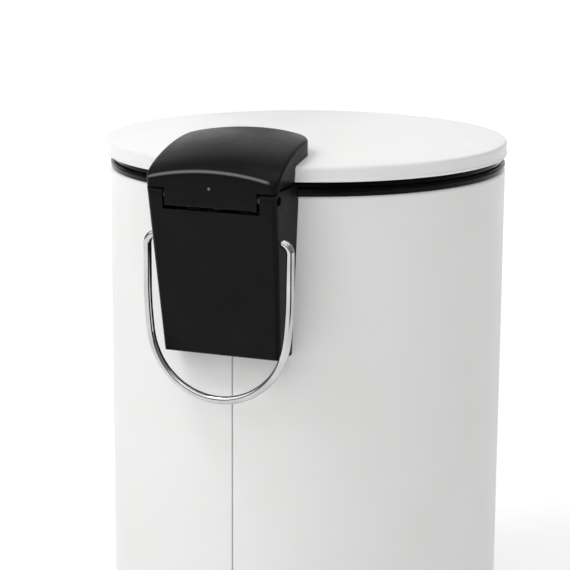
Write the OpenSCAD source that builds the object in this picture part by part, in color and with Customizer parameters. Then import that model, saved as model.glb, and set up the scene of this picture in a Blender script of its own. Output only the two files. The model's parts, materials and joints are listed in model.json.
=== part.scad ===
// Round 5-litre pedal bin: a steel shell with a domed lid that a foot pedal lifts through a push rod.
// +Z is up, the pedal faces -Y and the hinge housing faces +Y.
// The origin is on the bin's axis, in the plane that the bin stands on. Millimetres throughout.

/* [Shell] */
// Outer diameter of the steel shell
shell_d = 205; // [204:0.5:206]
// Height of the shell's top edge above the floor
shell_top = 262; // [255:1:300]
// Thickness of the shell's sheet steel
shell_t = 0.6; // [0.5:0.1:0.6]
// Radius of the inward curl along the shell's top edge
curl_r = 1.9; // [1.8:0.1:2]

/* [Lid] */
// Outer radius of the lid's skirt
lid_r = 103.5; // [103:0.1:104]
// How far the lid's centre sits towards the hinge from the bin's axis
lid_shift = 1.8; // [1.5:0.1:2.2]
// Gap from the shell's top edge up to the lid's hem
lid_lift = 7; // [6.8:0.1:7.5]
// Height of the skirt from the hem to the dome's edge
lid_skirt_h = 7.6; // [7.4:0.1:8.2]
// Rise of the dome from its edge to its crown
lid_dome_h = 7.5; // [6:0.25:8]
// Thickness of the lid's sheet steel
lid_t = 0.8; // [0.7:0.1:0.9]
// How far the lid opens, in degrees
lid_open = 75; // [60:1:78]

/* [Hinge] */
// Distance of the hinge pin from the bin's axis
pin_y = 121.9; // [121.7:0.1:122.3]
// Height of the hinge pin above the shell's top edge
pin_lift = 1.5; // [1.2:0.1:1.6]
// Radius of the hinge pin
pin_r = 2.2; // [2:0.1:2.3]
// Running clearance round a pin that turns, on the radius
running_gap = 0.05; // [0.03:0.01:0.09]
// Distance from the hinge pin to the crank pin that the rod lifts
crank_r = 11; // [10:0.25:11]

/* [Hinge housing] */
// Half the housing's width at its top
housing_half_top = 33.1; // [32.8:0.1:33.2]
// Half the housing's width at its foot
housing_half_foot = 30.2; // [29.5:0.1:30.4]
// Depth of the housing's foot below the shell's top edge
housing_drop = 77; // [75:0.5:80]
// Distance of the housing's front face from the bin's axis, at its foot
housing_foot_y = 113.7; // [113:0.1:113.8]
// Wall thickness of the housing
housing_t = 2.2; // [1.8:0.1:2.4]
// Radius of the round ears that hold the hinge pin
ear_r = 4.2; // [4:0.1:4.3]
// Half the width of the notch between the ears
notch_half = 24.7; // [24.5:0.1:25.2]
// Depth of the notch below the shell's top edge
notch_drop = 5.3; // [5.3:0.1:6]

/* [Hinge cap] */
// Half the width of the cap on the lid, at its rear
cap_half = 33.7; // [33.4:0.1:33.9]
// Narrowing of each side of the cap from its rear to its front corner
cap_taper = 2.4; // [1.5:0.1:2.6]
// Distance of the cap's rear face from the bin's axis
cap_rear = 126.3; // [126.2:0.1:126.4]
// Distance of the middle of the cap's front edge from the bin's axis
cap_front = 68; // [67:0.5:70]
// Height of the cap's rear edge above the shell's top edge, in the middle
cap_rear_h = 13.4; // [13:0.1:15]
// Slope of the cap's top where its rear curve meets its front curve, in degrees
cap_slope = 24; // [22:0.5:25]
// Radius of the crown across the cap
cap_crown_r = 130; // [110:5:160]
// Wall thickness of the cap
cap_t = 2.4; // [2:0.1:2.6]
// Half the width of the tongue that fills the notch
tongue_half = 23.4; // [23:0.1:23.6]

/* [Carrying handle] */
// Radius of the handle's wire
bail_wire_r = 2; // [1.8:0.1:2]
// Distance of the handle's pivots from the bin's axis
bail_y = 117; // [117:0.1:117.4]
// Depth of the handle's pivots below the shell's top edge
bail_drop = 19; // [18:0.5:20]
// Half the distance between the handle's legs, wire centre to centre
bail_half = 36.7; // [36.6:0.1:37.2]
// Height of the straight part of each leg below its bend
bail_leg = 19; // [17:0.5:20]
// Height of the curved part of the handle
bail_loop_h = 55; // [54:0.5:57]
// Radius of the curve at the bottom of the handle
bail_foot_r = 35.5; // [33:0.5:36]
// Radius of the bend at the top of each leg
bail_bend_r = 5; // [4:0.5:5]

/* [Pedal] */
// Height of the pedal's pivot above the floor
pedal_z = 20; // [20:0.5:22]
// Distance of the pedal's pivot behind the bin's axis
pedal_y = 15; // [10:1:18]
// Half the width of the pedal lever
lever_half = 12; // [10:0.5:12]
// Thickness of the lever's steel
lever_t = 2.5; // [2:0.25:2.5]
// Distance of the tread's front edge from the bin's axis, with the pedal at rest
tread_front = 144; // [138:1:150]
// Width of the tread
tread_w = 58; // [44:1:70]
// Depth of the tread from front to back
tread_d = 33; // [28:1:34]
// Number of grip ridges across the tread
tread_ridges = 6; // [4:1:7]
// Distance of the rod's hook from the bin's axis
rod_low_y = 94.9; // [94.5:0.1:95.2]

/* [Inner bucket] */
// Outer radius of the bucket under its rim
bucket_r = 87.4; // [84:0.2:87.4]
// Outer radius of the bucket at its floor
bucket_foot_r = 80; // [74:1:84]
// Height of the bucket's underside above the floor
bucket_z = 42; // [41:1:60]
// Wall thickness of the bucket
bucket_t = 1.8; // [1.5:0.1:2.2]

/* [Hidden] */
$fn = 96;

// limits well clear of everything at the rear, for shapes that run through it
side_x = 40;
inner_y = 80;
outer_y = 140;

steel_white = "#f1f1ef";
plastic_black = "#26272a";
bare_steel = "#b4b7bb";

shell_r = shell_d / 2;
pin_z = shell_top + pin_lift;

// base, from the floor up
grip_r0 = 96;
grip_r1 = 101;
grip_h = 3;
base_r = shell_r + 1.7;
base_floor = 5;
base_lip_h = 15;
plate_t = 1.2;
plate_top = base_floor + plate_t;
plate_r = shell_r - 2.7;
base_screw_r = 92;
base_gap = 0.05;
rivet_r = 1.6;
wire_bead = 0.05;

// rim ring, heights above the shell's top edge
ledge_h = 3;
rim_h = 6;
ledge_r = 88;
rim_r = 93.5;
skirt_r = shell_r - 2.1;
skirt_drop = 12;
skirt_t = 2;
buffer_r = 97;
buffer_gap = 0.35;

// lid outline, heights above the shell's top edge
lid_edge_r = 1.8;
hem_r = 0.9;
hem_out = 0.35;
dome_edge_a = 82;
dome_c = [lid_r - lid_edge_r, lid_lift + lid_skirt_h - lid_edge_r];
dome_r = dome_c[0] + lid_edge_r * cos(dome_edge_a);
dome_z = dome_c[1] + lid_edge_r * sin(dome_edge_a);

// crank: its pin swings from half the opening below the level to half above it
crank_a = lid_open / 2;
crank_pin_r = 1.5;
crank_pin_y = pin_y - crank_r * cos(crank_a);
crank_pin_z = pin_z - crank_r * sin(crank_a);
rod_lift = 2 * crank_r * sin(crank_a);

// push rod
rod_r = 2;
rod_top_y = pin_y - crank_r * (1 + cos(crank_a)) / 2;
rod_slack = 0.55;
eye_half = crank_r * (1 - cos(crank_a)) / 2 + crank_pin_r + rod_slack;
eye_wall = 2.2;
eye_t = 3;
jog_top = shell_top - 38;
jog_foot = shell_top - 56;
jog_a = atan2(rod_top_y - rod_low_y, jog_top - jog_foot);
rod_bend_r = 8;
hook_bend_r = 4;
jog_tangent = rod_bend_r * tan(jog_a / 2);

// pedal: the lever swings as far above the level as below it
rear_arm = rod_low_y - pedal_y + 0.1;
pedal_tilt = asin(rod_lift / 2 / rear_arm);
pivot_pin_r = 2.5;
lever_z = 3.2;
hook_z = pedal_z - rear_arm * sin(pedal_tilt);
hook_hole_r = rod_r + 0.5;
arm_x = 5.5;
arm_t = 3;
slot_half = lever_half + 1.5;
slot_low = pedal_z - (shell_r + pedal_y) * sin(pedal_tilt) + lever_z - 2;
slot_high = pedal_z + (shell_r + pedal_y) * sin(pedal_tilt) + lever_z + lever_t + 2;
tread_local = -(tread_front + pedal_y) / cos(pedal_tilt) + 0.8;

// housing, what holds it, and the screws, whose heads sit inside the shell
screw_x = 20;
screw_r = 1.5;
screw_len = 12.5;
head_r = 3.4;
head_h = 1.8;
guide_r = 98.6;
guide_z0 = shell_top - 73;
guide_h = 13;
backing_r = shell_r - shell_t - plate_t;
backing_half = 27;
backing_z = [shell_top - 57, shell_top - skirt_drop - 0.5];
rod_window = [jog_foot - 2, jog_top + 13];
upper_screw = [sqrt(pow(backing_r, 2) - pow(screw_x, 2)) - 0.2, shell_top - 17];
lower_screw = [sqrt(pow(guide_r, 2) - pow(screw_x, 2)) + 0.6, shell_top - 66];
ear_half = 28.6;
housing_edge_r = 3;
housing_lean = atan2(pin_y + ear_r - housing_foot_y, housing_drop + pin_lift);

// hinge cap
cap_low = shell_top + 7;
cap_lip_low = shell_top + 5;
cap_lip_y = 123;
ear_room_r = ear_r + 0.7;
cap_bend_y = 116;
cap_rear_bend_r = 35;
cap_front_bend_r = 90;
cap_axis_z = shell_top + cap_rear_h - cap_crown_r;
cap_front_r = 75;
cap_corner_r = 13;
cap_rear_corner_r = 4;
cap_front_c = cap_front + cap_front_r;
cap_corner_x = cap_half - cap_taper - cap_corner_r;
cap_corner_a = acos(cap_corner_x / (cap_front_r - cap_corner_r));
cap_corner_y = cap_front_c - (cap_front_r - cap_corner_r) * sin(cap_corner_a);
hub_y = 117.6;
cheek_in = 6;
cheek_t = 3;
cap_screw_x = 20;
cap_screw_ys = [79, 96];
cap_high = 40;
crown_core_r = 90;
crown_ys = [for (y = [50:6:110]) y, for (y = [cap_bend_y:2:cap_rear + 2.5]) y];

// inner bucket's flange and handle
flange_t = 2.2;
bucket_wire_r = 1.5;
bucket_pivot_z = shell_top - 6;
bucket_leg_x = bucket_r - 5.2;
bucket_bow_r = 89;

// carrying handle: two side arcs run into the arc at its foot
bail_side_r = (bail_half * bail_half + bail_loop_h * bail_loop_h - 2 * bail_loop_h * bail_foot_r)
    / (2 * (bail_half - bail_foot_r));
bail_side_x = bail_half - bail_side_r;
bail_curve_z = -bail_bend_r - bail_leg;
bail_foot_z = bail_curve_z - bail_loop_h + bail_foot_r;
bail_join_a = atan2(bail_curve_z - bail_foot_z, -bail_side_x);

// points along an arc round c from angle a0 to a1
function arc(c, r, a0, a1, n = 8) =
    [for (i = [0:n]) let (a = a0 + (a1 - a0) * i / n) [c[0] + r * cos(a), c[1] + r * sin(a)]];

// height of the dome's outer surface above the shell's top edge, at radius r from the lid's centre
function dome(r) = dome_z + lid_dome_h * (1 - pow(r / dome_r, 2));
function dome_at(x, y) = shell_top + dome(norm([x, y - lid_shift]));

// distance of the housing's rear face from the bin's axis at height z, moved in by w
function housing_rear(z, w) = pin_y + (ear_r - w) / cos(housing_lean) - (pin_z - z) * tan(housing_lean);

// height of the cap's top along its middle: above the meeting of its curves, and above the shell's top edge
function cap_bend(y) = let (r = y > cap_bend_y ? cap_rear_bend_r : cap_front_bend_r)
    r * (cos(asin(sin(cap_slope) + (y - cap_bend_y) / r)) - cos(cap_slope));
function cap_top(y) = cap_rear_h + cap_bend(y) - cap_bend(cap_rear);

// extrudes a (Y, Z) outline along X, and an (X, Z) outline along Y
module along_x(x0, x1) translate([x0, 0, 0]) rotate([90, 0, 90]) linear_extrude(x1 - x0) children();
module along_y(y0, y1) translate([0, y1, 0]) rotate([90, 0, 0]) linear_extrude(y1 - y0) children();

// round bar or hole along X or along Y
module bar_x(x0, x1, y, z, r) translate([x0, y, z]) rotate([0, 90, 0]) cylinder(r = r, h = x1 - x0);
module bar_y(x, y0, y1, z, r) translate([x, y0, z]) rotate([-90, 0, 0]) cylinder(r = r, h = y1 - y0);

module box(x0, x1, y0, y1, z0, z1) translate([x0, y0, z0]) cube([x1 - x0, y1 - y0, z1 - z0]);

// round bar along the line from a to b in the (Y, Z) plane
module bar_yz(a, b, r) translate([0, a[0], a[1]]) rotate([atan2(a[0] - b[0], b[1] - a[1]), 0, 0])
    cylinder(r = r, h = norm(b - a), $fn = 32);

// bent wire from angle a0 to a1 about a centre in the (X, Y) plane, with a bead just proud of the wire
// at each end that joins it to its neighbour
module bend(c, r, a0, a1, wire_r) translate([c[0], c[1], 0]) {
    rotate(a0) rotate_extrude(angle = a1 - a0) translate([r, 0]) circle(r = wire_r, $fn = 32);
    for (a = [a0, a1]) rotate(a) translate([r, 0, 0]) sphere(r = wire_r + wire_bead, $fn = 32);
}

// flat link between two round ends, drawn in 2D with true tangents
module link(p, rp, q, rq) {
    d = q - p;
    a = atan2(d[1], d[0]);
    t = acos((rp - rq) / norm(d));
    translate(p) circle(r = rp);
    translate(q) circle(r = rq);
    polygon([for (k = [[p, rp, t], [q, rq, t], [q, rq, -t], [p, rp, -t]])
        k[0] + k[1] * [cos(a + k[2]), sin(a + k[2])]]);
}

// rivet along +Z with its flat head's underside at z = 0, drawn downwards
module rivet(r, depth, head_r, head_h) {
    translate([0, 0, -depth]) cylinder(r = r, h = depth);
    intersection() {
        cylinder(r = head_r, h = head_h);
        translate([0, 0, head_h - head_r * 1.4]) sphere(r = head_r * 1.4);
    }
}

// --- shell ---

module shell_profile() {
    c = [shell_r - curl_r, shell_top - curl_r];
    polygon(concat([[shell_r - shell_t, base_floor], [shell_r, base_floor]],
        arc(c, curl_r, 0, 90, 6), arc(c, curl_r - shell_t, 90, 0, 6)));
}

module outer_body() color(steel_white) difference() {
    rotate_extrude() shell_profile();
    // lap seam down the rear
    box(-0.25, 0.25, shell_r - 0.25, shell_r + 1, base_floor - 1, shell_top - curl_r);
    // slot for the pedal lever
    box(-slot_half, slot_half, -shell_r - 1, -shell_r + 4, slot_low, slot_high);
    // slot for the jog in the push rod
    box(-4, 4, shell_r - 3, shell_r + 1, rod_window[0], rod_window[1]);
    housing_screw_holes(screw_r + 0.25);
}

// --- rim ring with its buffers ---

module rim_ring() color(plastic_black) translate([0, 0, shell_top]) rotate_extrude()
    polygon(concat(
        [[ledge_r, -1], [ledge_r, ledge_h], [rim_r, ledge_h], [rim_r, rim_h - 0.8], [rim_r + 0.8, rim_h],
            [skirt_r - 0.4, rim_h], [skirt_r, rim_h - 0.5], [skirt_r + 0.1, 4.3], [skirt_r + 0.9, 3.75]],
        arc([shell_r - 1.15, 1.95], 1.75, 85, -80, 10),
        [[shell_r - curl_r + 0.1, 0.05], [skirt_r, 0], [skirt_r, -skirt_drop],
            [skirt_r - skirt_t, -skirt_drop], [skirt_r - skirt_t, -1]]));

module lid_buffers() color("#3a3a3c") for (a = [30, 150, 270]) rotate(a)
    translate([buffer_r, 0, shell_top + rim_h]) {
        h = dome(buffer_r + lid_shift) - lid_t - rim_h - buffer_gap;
        cylinder(r = 2.6, h = h - 1);
        translate([0, 0, h - 1]) cylinder(r1 = 2.6, r2 = 1.8, h = 1, $fn = 24);
    }

// --- base ---

module base_screw_places() for (a = [45:90:315]) rotate(a) translate([base_screw_r, 0, 0]) children();

module base_ring() color(plastic_black) difference() {
    rotate_extrude() polygon([[ledge_r, 1], [grip_r0, 1], [grip_r0, grip_h], [grip_r1, grip_h], [grip_r1, 1],
        [base_r - 1, 1], [base_r, 2], [base_r, base_lip_h - 0.8], [base_r - 0.6, base_lip_h],
        [shell_r + base_gap, base_lip_h], [shell_r + base_gap, base_floor],
        [shell_r - shell_t - base_gap, base_floor], [shell_r - shell_t - base_gap, 9],
        [plate_r + 0.1, 9], [plate_r + 0.1, base_floor], [ledge_r, base_floor]]);
    box(-slot_half, slot_half, -base_r - 1, -shell_r + 4, slot_low, base_lip_h + 1);
    base_screw_places() cylinder(r = screw_r, h = base_floor + 1);
}

module grip_ring() color("#3a3a3c") rotate_extrude()
    polygon([[grip_r0, grip_h], [grip_r0, 0.6], [grip_r0 + 0.6, 0], [grip_r1 - 0.6, 0], [grip_r1, 0.6],
        [grip_r1, grip_h]]);

module base_plate() color(bare_steel) difference() {
    translate([0, 0, base_floor]) cylinder(r = plate_r, h = plate_t);
    base_screw_places() cylinder(r = screw_r, h = 20);
    bracket_rivet_places() cylinder(r = rivet_r, h = 20, center = true);
}

module base_screws() color(bare_steel) base_screw_places() translate([0, 0, plate_top])
    rivet(screw_r, plate_t + 3.4, 3.2, 1.8);

// --- pedal ---

module bracket_rivet_places() for (x = [-20, 20], y = [-5, 5])
    translate([x, pedal_y + y, plate_top]) children();

module pedal_bracket() color(bare_steel) {
    t = 1.5;
    gap = lever_half + 0.5;
    difference() {
        union() for (s = [0, 1]) mirror([s, 0, 0]) {
            box(gap, 26, pedal_y - 9, pedal_y + 9, plate_top, plate_top + t);
            along_x(gap, gap + t) {
                translate([pedal_y, pedal_z]) circle(r = 6);
                polygon([[pedal_y - 9, plate_top], [pedal_y + 9, plate_top], [pedal_y + 6, pedal_z],
                    [pedal_y - 6, pedal_z]]);
            }
        }
        bar_x(-30, 30, pedal_y, pedal_z, pivot_pin_r);
        bracket_rivet_places() cylinder(r = rivet_r, h = 9, center = true);
    }
}

module bracket_rivets() color(bare_steel) bracket_rivet_places() translate([0, 0, 1.5])
    rivet(rivet_r, 1.5 + plate_t, 3, 1.4);

module pedal_pivot_pin() color(bare_steel) {
    bar_x(-14, 14, pedal_y, pedal_z, pivot_pin_r);
    for (s = [0, 1]) mirror([s, 0, 0]) bar_x(14, 15.6, pedal_y, pedal_z, 3.6);
}

// places children in the pedal's own frame: its pivot at the origin, level when half pressed
module on_pedal() translate([0, pedal_y, pedal_z]) rotate([-pedal_tilt, 0, 0]) children();

module tread_rivet_places() for (x = [-7, 7]) translate([x, tread_local + tread_d / 2, 0]) children();

module pedal_lever() color(bare_steel) on_pedal() difference() {
    union() {
        // strap from under the tread to behind the pivot
        box(-lever_half, lever_half, tread_local + 4, 60, lever_z, lever_z + lever_t);
        // ears on the pivot pin
        for (s = [0, 1]) mirror([s, 0, 0]) along_x(lever_half - 2.5, lever_half) {
            circle(r = 5.5);
            translate([-5.5, 0]) square([11, lever_z + 0.5]);
        }
        // rear arm on edge, to the rod's hook
        along_x(arm_x, arm_x + arm_t) {
            translate([rear_arm, 0]) circle(r = 5);
            translate([46, 0]) square([rear_arm - 46, 5]);
            translate([46, 0]) square([10, lever_z + lever_t]);
        }
    }
    bar_x(-20, 20, 0, 0, pivot_pin_r + running_gap);
    bar_x(0, 20, rear_arm, 0, hook_hole_r);
    tread_rivet_places() cylinder(r = rivet_r, h = 30, center = true);
}

module tread_outline(inset) {
    r = 5;
    w = tread_w / 2 - inset - r;
    for (x = [-w, w], y = [inset + r, tread_d - inset - r]) translate([x, tread_local + y]) circle(r = r);
    translate([-w - r, tread_local + inset + r]) square([2 * (w + r), tread_d - 2 * (inset + r)]);
    translate([-w, tread_local + inset]) square([2 * w, tread_d - 2 * inset]);
}

module pedal_tread() color(plastic_black) on_pedal() {
    top = lever_z + lever_t + 3;
    difference() {
        translate([0, 0, lever_z - 1]) linear_extrude(top - lever_z + 1) tread_outline(0);
        translate([0, 0, lever_z - 2]) linear_extrude(2) tread_outline(2);
        box(-lever_half, lever_half, tread_local + 4, tread_local + tread_d + 1, lever_z - 2,
            lever_z + lever_t);
        tread_rivet_places() cylinder(r = rivet_r, h = 30, center = true);
        tread_rivet_places() translate([0, 0, top - 1.5]) cylinder(r = 3, h = 9);
    }
    pitch = (tread_d - 8) / tread_ridges;
    for (i = [0:tread_ridges - 1]) {
        y = tread_local + 4 + pitch * (i + 0.5);
        // the two middle ridges stop short of the rivets
        in = abs(y - tread_local - tread_d / 2) < 5 ? 11 : 0;
        for (s = [0, 1]) mirror([s, 0, 0]) box(in, tread_w / 2 - 5, y - 0.8, y + 0.8, top, top + 1);
    }
}

module tread_rivets() color(bare_steel) on_pedal() tread_rivet_places()
    translate([0, 0, lever_z + lever_t + 1.5]) rivet(rivet_r, lever_t + 2.5, 2.9, 1.3);

// --- push rod ---

module push_rod() color(bare_steel) {
    // slotted eye round the crank pin
    along_x(-eye_t / 2, eye_t / 2) translate([rod_top_y, crank_pin_z]) difference() {
        slot_2d(eye_half - crank_pin_r, crank_pin_r + rod_slack + eye_wall);
        slot_2d(eye_half - crank_pin_r - rod_slack, crank_pin_r + rod_slack);
    }
    r = rod_bend_r;
    upper = [rod_top_y, jog_top + jog_tangent];
    lower = [rod_low_y, jog_foot - jog_tangent];
    step = r * [1 - cos(jog_a), -sin(jog_a)];
    bar_yz([rod_top_y, crank_pin_z - eye_wall - 1], upper, rod_r);
    bar_yz(upper - step * [[1, 0], [0, -1]], lower + step * [[1, 0], [0, -1]], rod_r);
    bar_yz(lower, [rod_low_y, hook_z + hook_bend_r], rod_r);
    // bends at the jog, drawn in the (Y, Z) plane
    rotate([90, 0, 90]) {
        bend(upper - [r, 0], r, -jog_a, 0, rod_r);
        bend(lower + [r, 0], r, 180 - jog_a, 180, rod_r);
    }
    // bend into the hook, in the (X, Z) plane
    translate([0, rod_low_y, 0]) rotate([90, 0, 0])
        bend([hook_bend_r, hook_z + hook_bend_r], hook_bend_r, 180, 270, rod_r);
    translate([hook_bend_r, rod_low_y, hook_z]) rotate([0, 90, 0])
        cylinder(r = rod_r, h = 12 - hook_bend_r, $fn = 32);
}

// round-ended slot outline, centred
module slot_2d(half, r) {
    for (s = [-half, half]) translate([s, 0]) circle(r = r);
    translate([-half, -r]) square([2 * half, 2 * r]);
}

module rod_clip() color(bare_steel) difference() {
    bar_x(9.4, 10.6, rod_low_y, hook_z, 4.6);
    bar_x(9, 11, rod_low_y, hook_z, rod_r);
}

module rod_guide() color(plastic_black) difference() {
    translate([0, 0, guide_z0]) intersection() {
        union() {
            difference() {
                cylinder(r = shell_r - shell_t, h = guide_h);
                translate([0, 0, -1]) cylinder(r = guide_r, h = guide_h + 2);
            }
            intersection() {
                cylinder(r = guide_r + 1, h = guide_h);
                box(-7, 7, rod_low_y - 4.6, outer_y, -1, guide_h + 1);
            }
        }
        box(-backing_half, backing_half, inner_y, outer_y, 0, guide_h);
    }
    translate([0, rod_low_y, 0]) cylinder(r = rod_r + 0.45, h = shell_top);
    housing_screw_holes(screw_r);
    housing_screw_heads();
}

// --- hinge housing and what holds it ---

module housing_screw_places() for (x = [-screw_x, screw_x], s = [upper_screw, lower_screw])
    translate([x, s[0], s[1]]) children();
module housing_screw_holes(r) housing_screw_places() bar_y(0, -9, 30, 0, r);
module housing_screw_heads() housing_screw_places() bar_y(0, -head_h, 0, 0, head_r);
module housing_screw_shanks() housing_screw_places() bar_y(0, 0, screw_len, 0, screw_r);

module housing_screws() color(bare_steel) {
    housing_screw_heads();
    housing_screw_shanks();
}

module backing_plate() color(bare_steel) difference() {
    intersection() {
        difference() {
            cylinder(r = shell_r - shell_t, h = shell_top);
            translate([0, 0, -1]) cylinder(r = backing_r, h = shell_top + 2);
        }
        box(-backing_half, backing_half, inner_y, outer_y, backing_z[0], backing_z[1]);
    }
    box(-5, 5, inner_y, outer_y, 0, rod_window[1]);
    housing_screw_holes(screw_r + 0.25);
    housing_screw_heads();
}

// housing's side outline, moved in by w, with round ears about the hinge pin
module housing_side(w) {
    foot = shell_top - housing_drop + w;
    corner = max(1.2 - w, 0.1);
    translate([pin_y, pin_z]) circle(r = ear_r - w);
    polygon(concat([[inner_y, pin_z + ear_r - w], [inner_y, foot]],
        arc([housing_rear(foot, w) - corner, foot + corner], corner, -90, 0, 3),
        [[pin_y + (ear_r - w) * cos(housing_lean), pin_z - (ear_r - w) * sin(housing_lean)],
            [pin_y, pin_z], [pin_y, pin_z + ear_r - w]]));
}

// housing's outline from above at height z, moved in by w, with round rear corners
module housing_slab(z, half, w) translate([0, 0, z]) linear_extrude(0.01) {
    r = housing_edge_r;
    y = housing_rear(z, 0) - r + 0.1;
    polygon(concat([[half - w, inner_y]], arc([half - r, y], r - w, 0, 90, 9),
        arc([r - half, y], r - w, 90, 180, 9), [[w - half, inner_y]]));
}

module housing_block(w) intersection() {
    along_x(-side_x, side_x) housing_side(w);
    hull() {
        housing_slab(pin_z + ear_r + 1, housing_half_top, w);
        housing_slab(shell_top - housing_drop - 1, housing_half_foot, w);
    }
}

module hinge_housing() color(plastic_black) difference() {
    union() {
        difference() {
            housing_block(0);
            // hollow, below the ears
            intersection() {
                housing_block(housing_t);
                box(-side_x, side_x, inner_y, outer_y, 0, shell_top - notch_drop - 2);
            }
            // open notch between the ears, and the way from it into the hollow
            box(-notch_half, notch_half, inner_y, outer_y, shell_top - notch_drop, pin_z + 20);
            box(-notch_half, notch_half, inner_y, pin_y + 1, shell_top - notch_drop - 3, pin_z);
        }
        intersection() {
            housing_block(0.5);
            union() {
                // screw bosses
                housing_screw_places() bar_y(0, -20, 40, 0, 4.2);
                // bosses behind the carrying handle's pivots
                for (s = [0, 1]) mirror([s, 0, 0]) bar_x(23, side_x, bail_y, shell_top - bail_drop, 4.8);
            }
        }
    }
    // seat on the shell, and clearance round the rim ring
    cylinder(r = shell_r, h = shell_top);
    translate([0, 0, shell_top - 1]) cylinder(r = shell_r + 0.9, h = 20);
    // hinge pin, with an open recess at each end
    bar_x(-ear_half, ear_half, pin_y, pin_z, pin_r);
    for (s = [0, 1]) mirror([s, 0, 0]) bar_x(ear_half, side_x, pin_y, pin_z, pin_r + 0.2);
    // carrying handle's pivots
    bar_x(-side_x, side_x, bail_y, shell_top - bail_drop, bail_wire_r + running_gap);
    housing_screw_shanks();
}

module hinge_pin() color(bare_steel) bar_x(-ear_half, ear_half, pin_y, pin_z, pin_r);

// --- lid ---

dome_steps = 14;
dome_points = [for (i = [0:dome_steps]) let (r = dome_r * (1 - i / dome_steps)) [r, dome(r)]];

module at_lid() translate([0, lid_shift, shell_top]) children();

module lid() color(steel_white) difference() {
    at_lid() rotate_extrude() {
        polygon(concat([[lid_r - lid_t, lid_lift + hem_r], [lid_r, lid_lift + hem_r]],
            arc(dome_c, lid_edge_r, 0, dome_edge_a, 6), dome_points,
            [for (i = [dome_steps:-1:0]) dome_points[i] - [0, lid_t]],
            arc(dome_c, lid_edge_r - lid_t, dome_edge_a, 0, 4)));
        translate([lid_r + hem_out - hem_r, lid_lift + hem_r]) circle(r = hem_r, $fn = 24);
    }
    cap_screw_places() cylinder(r = screw_r + 0.25, h = 20, center = true);
}

// everything under the lid's outer surface, for what sits on it
module under_lid(drop) at_lid() translate([0, 0, -drop]) rotate_extrude() {
    polygon(concat([[0, -20], [lid_r + hem_out + 0.15, -20], [lid_r + hem_out + 0.15, lid_lift + 2.4],
        [lid_r, lid_lift + 2.8]],
        arc(dome_c, lid_edge_r, 0, dome_edge_a, 6), dome_points));
}

// cap screws: each place is on the dome's outer surface
module cap_screw_places() for (x = [-cap_screw_x, cap_screw_x], y = cap_screw_ys)
    translate([x, y, dome_at(x, y)]) children();

module lid_screw_heads() cap_screw_places() translate([0, 0, -lid_t - plate_t - 1.9])
    cylinder(r = 3, h = head_h);

module lid_screws() color(bare_steel) {
    lid_screw_heads();
    cap_screw_places() translate([0, 0, -lid_t - plate_t - 0.2]) cylinder(r = screw_r, h = 7 + lid_t);
}

module lid_clamp_plate() color(bare_steel) difference() {
    intersection() {
        difference() {
            under_lid(lid_t);
            under_lid(lid_t + plate_t);
        }
        box(-backing_half, backing_half, 72, 100, shell_top + 9, shell_top + cap_high);
    }
    cap_screw_places() cylinder(r = screw_r + 0.25, h = 20, center = true);
    lid_screw_heads();
}

// --- hinge cap on the lid ---

// cap's outline from above, moved in by w
module cap_plan(w) {
    r = cap_corner_r - w;
    c = [cap_corner_x, cap_corner_y];
    rear = cap_rear_corner_r;
    polygon(concat(
        arc([cap_half - w - rear, cap_rear - w - rear], rear, 90, 0, 6),
        arc(c, r, 0, -cap_corner_a, 6),
        arc([0, cap_front_c], cap_front_r - w, -cap_corner_a, cap_corner_a - 180, 12),
        arc([-c[0], c[1]], r, cap_corner_a - 180, -180, 6),
        arc([-cap_half + w + rear, cap_rear - w - rear], rear, 180, 90, 6)));
}

// body under the cap's crowned top, which turns about an axis that runs front to back
module cap_crown(w) translate([0, 0, cap_axis_z]) rotate([-90, 0, 0]) rotate_extrude($fn = 240)
    polygon(concat([[crown_core_r, crown_ys[len(crown_ys) - 1]], [crown_core_r, crown_ys[0]]],
        [for (y = crown_ys) [cap_crown_r + cap_top(y) - cap_rear_h - w, y]]));

module cap_block(w) intersection() {
    cap_crown(w);
    translate([0, 0, cap_low]) linear_extrude(cap_high) cap_plan(w);
}

// thin lip down the cap's rear, curved round the ears
module cap_lip() difference() {
    intersection() {
        translate([0, 0, cap_lip_low]) linear_extrude(cap_low - cap_lip_low + 1) cap_plan(0);
        box(-side_x, side_x, cap_lip_y, outer_y, shell_top, cap_low + 1);
    }
    bar_x(-side_x, side_x, pin_y, pin_z, ear_room_r);
}

// tongue's side outline: it fills the notch and wraps the hinge pin
module tongue_side() {
    low = shell_top - 3.6;
    r = 1.2;
    polygon(concat([[hub_y + 0.6, cap_low + 1], [hub_y + 0.6, pin_z - 1]],
        arc([hub_y + 2.6, low + 2], 2, 180, 270, 4),
        arc([cap_rear - r, low + r], r, -90, 0, 4),
        [[cap_rear, cap_low + 1]]));
}

module lid_hinge_cap() color(plastic_black) difference() {
    union() {
        difference() {
            cap_block(0);
            // hollow, with the hinge end left solid
            intersection() {
                cap_crown(cap_t);
                translate([0, 0, cap_low - 1]) linear_extrude(cap_high) cap_plan(cap_t);
                box(-side_x, side_x, 0, hub_y, 0, shell_top + cap_high);
            }
        }
        along_x(-tongue_half, tongue_half) tongue_side();
        cap_lip();
        // screw bosses
        intersection() {
            cap_block(0.5);
            cap_screw_places() cylinder(r = 4, h = 40, center = true);
        }
        // crank cheeks
        for (s = [0, 1]) mirror([s, 0, 0]) along_x(cheek_in, cheek_in + cheek_t)
            link([pin_y, pin_z], 4.2, [crank_pin_y, crank_pin_z], 3.2);
    }
    under_lid(0);
    // room for the rod's eye between the cheeks
    box(-cheek_in, cheek_in, 100, pin_y + pin_r + 0.3, shell_top - 10, pin_z + 4.4);
    bar_x(-side_x, side_x, pin_y, pin_z, pin_r + running_gap);
    bar_x(-20, 20, crank_pin_y, crank_pin_z, crank_pin_r);
    cap_screw_places() cylinder(r = screw_r, h = 13, center = true);
}

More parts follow.
